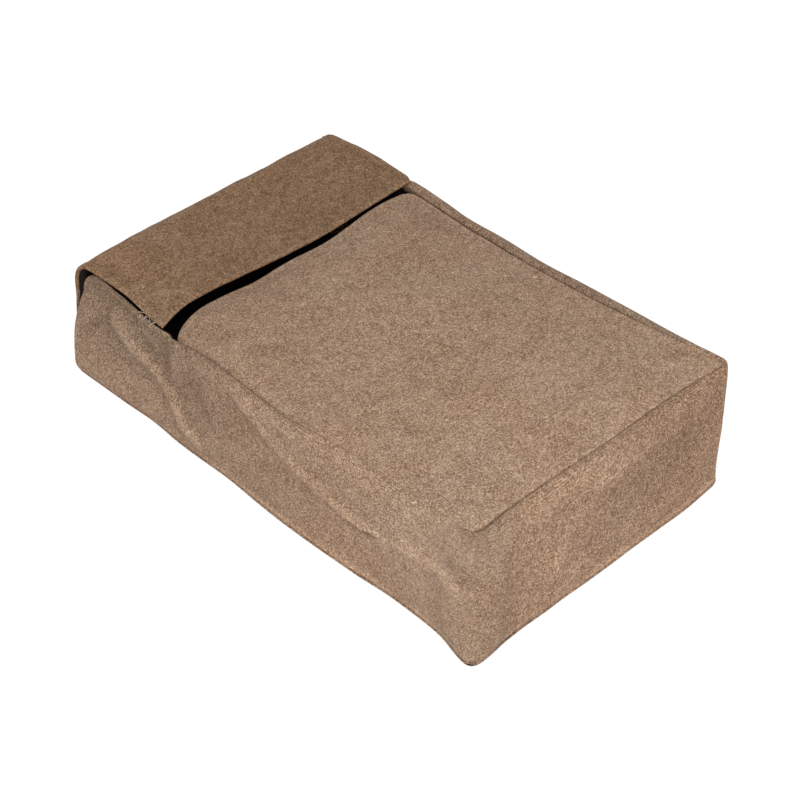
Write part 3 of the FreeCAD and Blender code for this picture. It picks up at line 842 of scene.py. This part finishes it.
class SLEEVE_OT_front_panel(bpy.types.Operator):
    """Make the padded front panel, with its seams and its rounded lip"""

    bl_idname = "sleeve.front_panel"
    bl_label = "Front panel"

    def execute(self, context):
        sizes = context.scene.sleeve_sizes
        cell, seed = sizes.cell / MM, sizes.seed
        x = between_edges(2 * SEAM_X, cell) - SEAM_X
        y = between_edges(LIP_Y - SEAM_END_Y, cell) + SEAM_END_Y
        x, y = np.meshgrid(x, y, indexing="ij")
        uv = np.stack([y, x], -1)
        end_round, lip_round = np.where(x < 0, LEFT_CORNER, RIGHT_CORNER), np.where(x < 0, 15.0, 11.0)
        x, y, from_edge = rounded_corners(x, y, SEAM_X, SEAM_END_Y, LIP_Y, end_round, lip_round)
        by_x, by_y, sag = seam_shift(x, y)
        lip = ease(LIP_Y - 45, LIP_Y, y)
        z = top_z(y) + sag + lip * through(x, LIP_SAG)
        z += 1.3 * (1 - (x / SEAM_X) ** 2) * ease(0, 40, from_edge)
        valley = np.where(x < 0, 0.4 + 2.0 * ease(-150, 20, y), 1.1)
        z -= valley * np.exp(-from_edge / 5) * ease(LIP_Y, LIP_Y - 14, y)
        z -= lip * 0.8 * np.exp(-(LIP_Y - y) / 7)
        z += 0.5 * rumple(x, y, 80, seed + 2) + 0.16 * rumple(x, y, 24, seed + 3)
        grid = np.stack([x + by_x, y + by_y + lip * through(x, LIP_LEAN), z], -1)
        edge_thick = blurred(np.where(y > LIP_Y - 19, LIP_EDGE, seam_depth(x, y)), 3)
        outer, inner = quilted(grid, from_edge, sizes.pad / MM, edge_thick)
        facing = y > LIP_Y - sizes.facing / MM
        inner = inner - np.array([0, 0, FACING]) * (facing * ease(0, 3, from_edge))[..., None]
        # Masks for wear with a painted highlight on proud cloth, and for painted shade in hollows
        wear, hollow = proud_and_hollow(outer)
        # Painted shade in the groove of the top seam
        seam = ease(1.3, 0.5, from_edge) * seam_groove_shade(x, y) * ease(LIP_Y - 2, LIP_Y - 14, y)
        # Painted light: paler towards the closed end, darker towards the mouth and the right side, and painted
        # shade along the left top seam
        fade = through(y, PANEL_PAINTED_LIGHT) - 0.25 * ease(20, SEAM_X, x)
        fade -= ease(6, 0.5, from_edge) * seam_shade(x, y)
        piece = cloth_piece(
            "front_panel_cloth", outer, inner, uv, ~facing, "heather_canvas", wear=wear, hollow=hollow,
            seam=seam, fade=fade, taut=hump(x, -SEAM_X, 28) * ease(70, 0, y),
            yarn=-0.15 + 0.11 * ease(110, -170, y))
        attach(piece, "sleeve")
        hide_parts("front_panel", "front_pad", "front_lining", "lip_facing")
        return {"FINISHED"}


# --- back panel


class SLEEVE_OT_back_panel(bpy.types.Operator):
    """Make the padded back panel, which turns up at the mouth and is sewn to the flap"""

    bl_idname = "sleeve.back_panel"
    bl_label = "Back panel"

    def execute(self, context):
        sizes = context.scene.sleeve_sizes
        cell, seed = sizes.cell / MM, sizes.seed
        fold, turned_up, edge = 5.0, 16.0, 2.0
        flat = MOUTH_Y - fold - BASE_END_Y
        bent = flat + fold * math.pi / 2
        end = bent + turned_up - fold
        x = between_edges(2 * BASE_X, cell * 1.3) - BASE_X
        length = np.concatenate([between_edges(flat - 12, cell * 1.3, high=False)[:-1],
                                 np.linspace(flat - 12, bent, 20)[:-1],
                                 bent + between_edges(turned_up - fold, cell, low=False)])
        x, length = np.meshgrid(x, length, indexing="xy")
        uv = np.stack([length, x], -1)
        round_at = np.where(x < 0, LEFT_CORNER, RIGHT_CORNER) + BASE_SPREAD
        x, length, from_edge = rounded_corners(x, length, BASE_X, 0, end, round_at, 3.0)
        angle = np.clip((length - flat) / fold, 0, math.pi / 2)
        up = np.clip(length - bent, 0, None)
        y = BASE_END_Y + np.minimum(length, flat) + fold * np.sin(angle) - 2.0 * ease(0, 4, up)
        z = fold * (1 - np.cos(angle)) + up
        by_x, by_y = base_shift(x, np.minimum(y, MOUTH_Y))
        narrow = 1 - 0.012 * ease(0, 12, up)
        resting = 0.35 * (1 + rumple(x, y, 45, seed + 5)) * ease(30, 0, from_edge) * (z < 1)
        grid = np.stack([(x + by_x) * narrow, y + by_y, z + np.clip(resting, 0, None)], -1)
        padded = ease(3, 9, BASE_X - np.abs(x)) * ease(4, 10, length) * ease(flat, flat - 8, length)
        padded = padded * (sizes.pad / MM - edge + 0.5 * rumple(x, y, 60, seed + 6))
        outer, inner = quilted(grid, from_edge, edge, np.full_like(x, edge))
        inner = inner - grid_normals(grid) * padded[..., None]
        # Masks for wear with a painted highlight on proud cloth, and for painted shade in hollows
        wear, hollow = proud_and_hollow(outer)
        # Painted contact shadow where the bottom edge meets the floor, strongest along the closed end
        seam = ease(0.9, 0.3, outer[..., 2]) * ease(4, 1, from_edge)
        seam = seam * (0.25 + 0.75 * foot_contact_shadow(x) * (y < 0))
        piece = cloth_piece("back_panel_cloth", outer, inner, uv, from_edge >= 9, "heather_canvas", wear=wear,
                            hollow=hollow, seam=(seam, seam))
        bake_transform(piece)
        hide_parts("back_panel", "back_pad", "back_lining")
        return {"FINISHED"}


# --- flap

# Side view (y, z) of the flap's outside, from its seam at the mouth up over the fold to its free edge
FLAP_PROFILE = [(186, 8), (186.6, 30), (187.6, 58), (188.6, 75), (187.8, 85.5), (181.5, 92.3), (170, 94.2),
                (152, 93.4), (132, 92.2), (114, 91.2), (96, 90.6)]
# Its free edge, as places along Y at places along X
FLAP_EDGE = [(-113, 99.5), (-100, 103), (-77, 104.4), (-45, 103), (-20, 101), (17, 98.8), (66, 100.8),
             (104, 103), (113, 103)]
# Its sides, as places along X: of its top, at places along Y, and of its end, at heights
FLAP_LEFT = [(98, -113.4), (118, -113.2), (158, -113), (173, -112.6), (185, -113)]
FLAP_RIGHT = [(98, 115.8), (118, 115.8), (135, 115), (150, 113.8), (164, 112), (185, 110.5)]
FLAP_END_LEFT = [(8, -118), (45, -116.5), (60, -115.5), (76, -115.6), (92, -113.6)]
FLAP_END_RIGHT = [(8, 118.5), (60, 114), (92, 110.5)]


def flap_outside(sizes):
    """Outside of the flap as a grid: along its side view, then across. Also where it lies on the flat cloth."""
    cell, seed = sizes.cell / MM, sizes.seed
    t = between_edges(2 * SEAM_X, cell) / SEAM_X - 1
    profile = spline(np.array([[(0, y, z) for y, z in FLAP_PROFILE]], float), FLAP_POINTS)
    length = ways(profile)[0]
    y_at, z_at = profile[0, :, 1], profile[0, :, 2]
    fold_from = length[np.argmax(z_at)]
    top = length > fold_from
    total = np.interp(-through(t * SEAM_X, FLAP_EDGE), -y_at[top], length[top])
    steps = between_edges(float(np.median(total)), cell)
    along = (steps / steps[-1])[:, None] * total
    t = t + 0 * along
    y, z = np.interp(along, length, y_at), np.interp(along, length, z_at)
    top_part = ease(fold_from - 10, fold_from + 10, along)
    left = top_part * through(y, FLAP_LEFT) + (1 - top_part) * through(z, FLAP_END_LEFT)
    right = top_part * through(y, FLAP_RIGHT) + (1 - top_part) * through(z, FLAP_END_RIGHT)
    x = (left + right) / 2 + t * (right - left) / 2
    x = x - 2.2 * ease(SEAM_X - 14, SEAM_X + 3, x) * ease(6, 0, total - along)
    fold_corner = hump(along, fold_from - 4, 20) * (ease(-92, -115, x) + ease(94, 113, x))
    z = z - 3.9 * ease(-84, -113, x) * ease(146, 106, y) * top_part - (1.7 - 0.9 * t) * fold_corner
    y = y - (1.1 - 0.5 * t) * fold_corner
    z = z + top_part * (0.6 * rumple(x, y, 75, seed + 8) + 0.2 * rumple(x, y, 26, seed + 9))
    z = z + 0.8 * top_part * hump(x, -5, 60) * hump(y, 178, 20)
    loose = (1 - top_part) * ease(6, 40, along)
    y = y + loose * (0.8 * rumple(x, z, 60, seed + 10) + 0.25 * rumple(x, z, 24, seed + 11))
    y = y + 0.7 * rumple(x, 0 * x, 70, seed + 12) * hump(along, fold_from, 22)
    from_sides = np.minimum(t + 1, 1 - t) * SEAM_X
    return np.stack([x, y, z], -1), along, from_sides, np.minimum(along, total - along)


def hem_rows(grid, from_sides, inset):
    """Points on the flap's outside at a set distance from its left side edge, then from its right."""
    half = grid.shape[1] // 2
    for step in (1, -1):
        lines, distance = grid[3:-4, ::step][:, :half], from_sides[0, ::step][:half]
        yield np.stack([[np.interp(inset, distance, line[:, k]) for k in range(3)] for line in lines])


class SLEEVE_OT_flap(bpy.types.Operator):
    """Make the flap: hemmed dark canvas, lined, bent over at the mouth"""

    bl_idname = "sleeve.flap"
    bl_label = "Flap"

    def execute(self, context):
        sizes = context.scene.sleeve_sizes
        grid, along, from_sides, from_ends = flap_outside(sizes)
        hem = sizes.hem / MM
        from_edge = np.minimum(from_sides, from_ends)
        turned = ease(hem + 0.7, hem - 0.7, from_sides) * ease(3, 8, from_ends)
        puckers = 0.12 * rumple(along, 0 * along, 9, sizes.seed + 13) * hump(from_sides, hem - 1, 3)
        grid = grid + grid_normals(grid) * (HEM_RISE * turned + puckers)[..., None]
        thick = sizes.flap / MM - 0.9 * ease(14, 9, along)
        outer, inner = quilted(grid, from_edge, thick, thick)
        # Masks for wear with a painted highlight on proud cloth, and for painted shade in hollows
        wear, hollow = proud_and_hollow(outer, 3, 0.3)
        # The flap's left end is painted paler
        piece = cloth_piece(
            "flap_cloth", outer, inner, np.stack([along, from_sides], -1), from_edge >= 1.5, "dark_flap_canvas",
            wear=wear, hollow=hollow, fade=0.4 * ease(-50, -95, outer[..., 0]))
        bend_flap(piece)
        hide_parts("flap_end_canvas", "flap_end_board", "flap_end_lining", "flap_top_canvas",
                    "flap_top_board", "flap_top_lining")
        return {"FINISHED"}


def bend_flap(piece):
    """Bakes a flap piece's transform into its mesh."""
    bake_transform(piece)


# --- stitching


class CopyNodes(Nodes):
    """Builds geometry nodes that lay copies of a small shape along a row."""

    def __init__(self, name, **defaults):
        super().__init__(bpy.data.node_groups.new(name, "GeometryNodeTree"))
        self.tree.is_modifier = True
        add = self.tree.interface.new_socket
        add("Row", in_out="INPUT", socket_type="NodeSocketGeometry")
        for key, value in defaults.items():
            kind = "NodeSocketInt" if isinstance(value, int) else "NodeSocketFloat"
            add(key.replace("_", " ").capitalize(), in_out="INPUT", socket_type=kind).default_value = value
        add("Material", in_out="INPUT", socket_type="NodeSocketMaterial")
        add("Copies", in_out="OUTPUT", socket_type="NodeSocketGeometry")
        self.given = self.node("NodeGroupInput")

    def random_turn(self, most):
        """A random turn about each axis, up to the most either way."""
        least = self.node("ShaderNodeVectorMath", {0: (-1, -1, -1), "Scale": most}, operation="SCALE")
        return self.node("FunctionNodeRandomValue", {"Min": least, "Max": most, "Seed": self.given["Seed"]},
                         data_type="FLOAT_VECTOR")

    def finish(self, points, shape, rotation, scale):
        """Copies the shape to the points, makes the copies real and gives them the material."""
        copies = self.node("GeometryNodeInstanceOnPoints", {
            "Points": points, "Instance": shape, "Rotation": rotation, "Scale": scale})
        real = self.node("GeometryNodeRealizeInstances", {0: copies})
        painted = self.node("GeometryNodeSetMaterial", {0: real, "Material": self.given["Material"]})
        self.node("NodeGroupOutput", {0: painted})
        return self.tree


def stitch_tree():
    """Geometry nodes that lay stitches along a curve."""
    nodes = CopyNodes("Stitch row", stitch_length=0.0028, gap=0.0012, thread=0.0006, unevenness=0.12, seed=0)
    given = nodes.given
    length, thread = given["Stitch length"], given["Thread"]
    points = nodes.node("GeometryNodeCurveToPoints", {"Curve": given, "Length": length + given["Gap"]},
                        mode="LENGTH")
    bead = nodes.node("GeometryNodeMeshUVSphere", {"Segments": 6, "Rings": 5, "Radius": 0.5})
    size = nodes.node("ShaderNodeCombineXYZ", {0: thread, 1: thread, 2: length})
    tilt = nodes.random_turn(given["Unevenness"])
    turned = nodes.node("FunctionNodeRotateRotation", {"Rotation": points["Rotation"], "Rotate By": tilt},
                        rotation_space="LOCAL")
    return nodes.finish(points, bead, turned, size)


def fray_tree():
    """Geometry nodes that stand short curved threads along a curve."""
    nodes = CopyNodes("Frayed threads", length=0.0045, thickness=0.00024, spread=0.9, count=12, seed=0)
    given = nodes.given
    points = nodes.node("GeometryNodeCurveToPoints", {"Curve": given, "Count": given["Count"]}, mode="COUNT")
    bow = nodes.node("GeometryNodeCurveQuadraticBezier", {
        "Resolution": 6, "Start": (0, 0, 0), "Middle": (-0.4, 0, -0.05), "End": (-0.7, 0.15, -0.65)})
    radius = given["Thickness"].by("DIVIDE", given["Length"])
    ring = nodes.node("GeometryNodeCurvePrimitiveCircle", {"Resolution": 5, "Radius": radius})
    strand = nodes.node("GeometryNodeCurveToMesh", {"Curve": bow, "Profile Curve": ring, "Fill Caps": True})
    share = nodes.node("FunctionNodeRandomValue", {2: 0.45, 3: 1.15, "Seed": given["Seed"]}, 1)
    return nodes.finish(points, strand, nodes.random_turn(given["Spread"]), share * given["Length"])


def laid_out(name, rows, tree, inputs):
    """Runs a node tree along rows of points and gives its result as a plain mesh object."""
    curve = bpy.data.curves.new(name + "_rows", "CURVE")
    curve.dimensions = "3D"
    for row in rows:
        points = curve.splines.new("POLY").points
        points.add(len(row) - 1)
        points.foreach_set("co", np.pad(row * MM, ((0, 0), (0, 1)), constant_values=1).reshape(-1))
    guide = add_piece(name + "_rows", curve)
    modifier = guide.modifiers.new("laid", "NODES")
    modifier.node_group = tree
    sockets = {item.name: item.identifier for item in tree.interface.items_tree if item.in_out == "INPUT"}
    for key, value in inputs.items():
        modifier[sockets[key]] = value
    mesh = bpy.data.meshes.new_from_object(guide.evaluated_get(bpy.context.evaluated_depsgraph_get()))
    mesh.name = name
    guide.modifiers.remove(modifier)
    bpy.data.objects.remove(guide)
    bpy.data.curves.remove(curve)
    return add_piece(name, mesh)


class SLEEVE_OT_stitching(bpy.types.Operator):
    """Sew the flap's hems and its seam at the mouth"""

    bl_idname = "sleeve.stitching"
    bl_label = "Stitching"

    def execute(self, context):
        sizes = context.scene.sleeve_sizes
        grid, along, from_sides, _ = flap_outside(sizes)
        normal = grid_normals(grid)
        inputs = {"Stitch length": sizes.stitch, "Gap": sizes.stitch_gap, "Thread": sizes.thread,
                  "Seed": sizes.seed, "Material": ready_material("brown_thread")}
        tree = stitch_tree()
        rows = hem_rows(grid + normal * HEM_LIFT, from_sides, sizes.hem / MM - HEM_INSET)
        hems = laid_out("flap_hem_stitches", rows, tree, inputs)
        bend_flap(hems)
        lifted = grid + normal * SEAM_LIFT
        rows = [lifted[np.argmin(np.abs(along[:, 0] - height)), SEAM_FREE:-SEAM_FREE] for height in SEAM_ROWS]
        seam = laid_out("flap_seam_stitches", rows, tree, inputs)
        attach(seam, "flap_end")
        return {"FINISHED"}


class SLEEVE_OT_frayed_threads(bpy.types.Operator):
    """Fray the flap's left edge near its free corner"""

    bl_idname = "sleeve.frayed_threads"
    bl_label = "Frayed threads"

    def execute(self, context):
        sizes = context.scene.sleeve_sizes
        grid, along, _, _ = flap_outside(sizes)
        edge = grid[:, 0] - np.array([0.2, 0, 1.2])
        frayed = edge[(edge[:, 1] > FRAYED[0]) & (edge[:, 1] < FRAYED[1]) & (along[:, 0] > FRAYED_FROM)]
        piece = laid_out("frayed_threads", [frayed], fray_tree(),
                         {"Count": 9, "Seed": sizes.seed, "Material": ready_material("pale_loose_thread")})
        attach(piece, "flap_top")
        return {"FINISHED"}


# --- stage


class SLEEVE_OT_stage(bpy.types.Operator):
    """Set the camera, lamps, world and pale floor"""

    bl_idname = "sleeve.stage"
    bl_label = "Stage"

    def execute(self, context):
        scene, plan = context.scene, context.scene.stage_plan
        scene.view_settings.view_transform = "Standard"
        camera = add_piece("camera", bpy.data.cameras.new("camera"))
        camera.data.lens, camera.data.sensor_width, camera.data.clip_end = plan.lens, 36.0, 50
        camera.matrix_world = (
            Matrix.Translation(plan.place) @ Matrix.Rotation(plan.azimuth, 4, "Z")
            @ Matrix.Rotation(math.pi / 2 - plan.elevation, 4, "X") @ Matrix.Rotation(plan.roll, 4, "Z"))
        scene.camera = camera
        for name, place, size, power in LAMPS:
            lamp = bpy.data.lights.new(name, "AREA")
            lamp.size, lamp.energy = size, power
            held = add_piece(name, lamp)
            held.location = place
            held.rotation_euler = (LAMPS_AIM - Vector(place)).to_track_quat("-Z", "Y").to_euler()

        scene.world = bpy.data.worlds.new("studio")
        scene.world.use_nodes = True
        world = Nodes(scene.world.node_tree)
        light = world.node("ShaderNodeBackground", {0: WHITE, 1: WORLD_LIGHT})
        white = world.node("ShaderNodeBackground", {0: WHITE})
        surface = world.node("ShaderNodeMixShader", {0: world.backdrop_rays(), 1: light, 2: white})
        world.node("ShaderNodeOutputWorld", {0: surface})

        mesh, half = bpy.data.meshes.new("floor"), 6.0
        corners = [(x * half, y * half, 0) for x, y in ((-1, -1), (1, -1), (1, 1), (-1, 1))]
        mesh.from_pydata(corners, [], [(0, 1, 2, 3)])
        shader = Shader("pale_floor")
        matte = shader.node("ShaderNodeBsdfDiffuse", {0: FLOOR_COLOUR})
        glow = shader.node("ShaderNodeEmission", {0: WHITE, 1: FLOOR_GLOW})
        share = shader.backdrop_rays() * FLOOR_SEEN + FLOOR_ALWAYS
        surface = shader.node("ShaderNodeMixShader", {0: share, 1: matte, 2: glow})
        shader.node("ShaderNodeOutputMaterial", {0: surface})
        floor = add_piece("floor", mesh, [shader.material])
        return {"FINISHED"}


class SLEEVE_PT_panel(bpy.types.Panel):
    """Lists the steps that make the sleeve"""

    bl_label = "Laptop sleeve"
    bl_idname = "SLEEVE_PT_panel"
    bl_space_type = "VIEW_3D"
    bl_region_type = "UI"
    bl_category = "Sleeve"

    def draw(self, context):
        for step in STEPS:
            self.layout.operator(step.bl_idname)
        for group in (context.scene.sleeve_sizes, context.scene.sleeve_colours, context.scene.stage_plan):
            box = self.layout.box()
            for name in group.__annotations__:
                box.prop(group, name)


STEPS = (SLEEVE_OT_stage, SLEEVE_OT_walls, SLEEVE_OT_front_panel, SLEEVE_OT_back_panel, SLEEVE_OT_flap,
         SLEEVE_OT_stitching, SLEEVE_OT_frayed_threads)
GROUPS = {"sleeve_sizes": SleeveSizes, "sleeve_colours": SleeveColours, "stage_plan": StagePlan}


def register():
    for name, group in GROUPS.items():
        bpy.utils.register_class(group)
        setattr(bpy.types.Scene, name, PointerProperty(type=group))
    for kind in (*STEPS, SLEEVE_PT_panel):
        bpy.utils.register_class(kind)


def unregister():
    for kind in (SLEEVE_PT_panel, *reversed(STEPS)):
        bpy.utils.unregister_class(kind)
    for name, group in GROUPS.items():
        delattr(bpy.types.Scene, name)
        bpy.utils.unregister_class(group)


def main():
    register()
    for step in STEPS:
        getattr(bpy.ops.sleeve, step.bl_idname.split(".")[1])()


if __name__ == "__main__":
    main()
